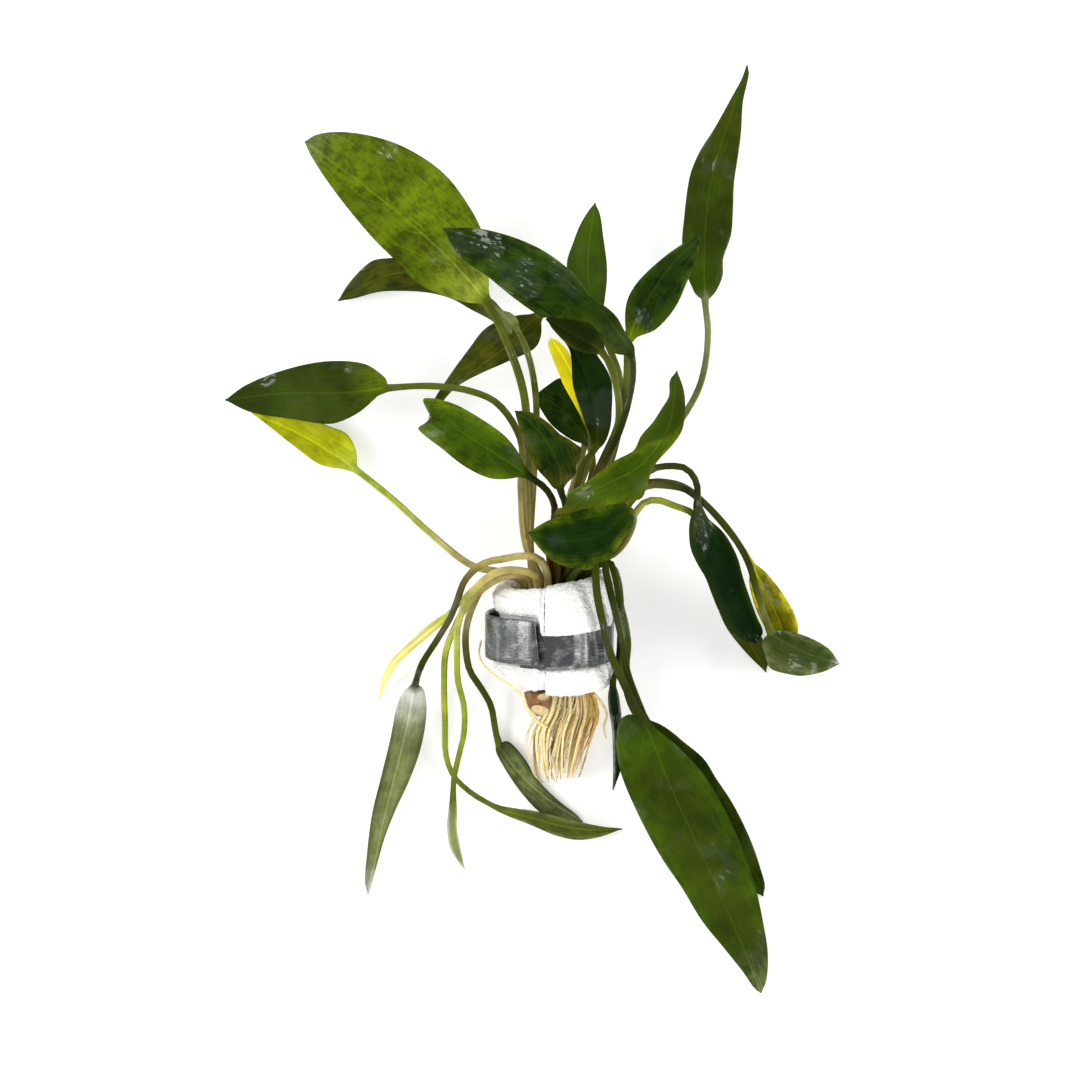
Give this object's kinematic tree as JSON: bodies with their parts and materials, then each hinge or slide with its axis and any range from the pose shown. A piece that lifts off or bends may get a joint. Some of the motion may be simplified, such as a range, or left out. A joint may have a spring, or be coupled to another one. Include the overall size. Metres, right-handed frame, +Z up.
{
  "type": "bunched aquarium plant",
  "caption": "Bunched rooted cryptocoryne lying on its side: oval leaves on long petioles, held by a foam wrap and a metal weight strip, with fine roots below.",
  "frame": {"origin": "centre of the bunch's footprint, on the surface that it lies on", "axes": "+Z up from the surface, +Y from the roots towards the upper leaf tips, +X to the right as seen from above"},
  "size_m": [0.154, 0.232, 0.0457],
  "materials": {
    "leaf_fresh": "wet and glossy",
    "leaf_dark": "wet and glossy",
    "leaf_olive": "wet and glossy",
    "leaf_lime": "wet and glossy",
    "leaf_yellow": "wet and glossy",
    "leaf_grey": "wet and glossy",
    "leaf_cream": "wet and glossy",
    "foam": "matte, fine open pores",
    "weight_metal": "dull, brushed by hand",
    "rhizome": "rough, damp",
    "root": "damp, satin"
  },
  "bodies": {
    "root": {"leaf_top_left_large": "leaf_fresh", "leaf_top_left_rear": "leaf_olive", "leaf_upper_left_rear": "leaf_olive", "leaf_upper_centre": "leaf_dark", "leaf_top_centre_rear": "leaf_dark", "leaf_upper_right": "leaf_fresh", "leaf_top_right": "leaf_dark", "leaf_left": "leaf_fresh", "leaf_left_yellow": "leaf_lime", "leaf_notched": "leaf_fresh", "leaf_small_lobed": "leaf_dark", "leaf_centre": "leaf_dark", "leaf_centre_olive": "leaf_olive", "leaf_centre_yellow": "leaf_yellow", "leaf_centre_rear": "leaf_dark", "leaf_front": "leaf_fresh", "leaf_over_foam": "leaf_dark", "leaf_right_hanging": "leaf_dark", "leaf_right_green": "leaf_fresh", "leaf_right_yellow": "leaf_yellow", "leaf_right_grey": "leaf_grey", "leaf_lower_right_large": "leaf_fresh", "leaf_lower_right_rear": "leaf_dark", "leaf_right_edge_on": "leaf_fresh", "leaf_below_foam_right": "leaf_dark", "leaf_lower_left_grey": "leaf_grey", "leaf_lower_left_cream": "leaf_cream", "leaf_lower_left_edge_on": "leaf_cream", "leaf_lower_left_olive": "leaf_olive", "leaf_lower_left_folded": "leaf_grey", "foam_wrap": "foam", "weight_strip": "weight_metal", "rhizome_left": "rhizome", "rhizome_right": "rhizome", "root_clump": "root", "root_stray_left": "root", "root_stray_right": "root"}
  },
  "joints": []
}
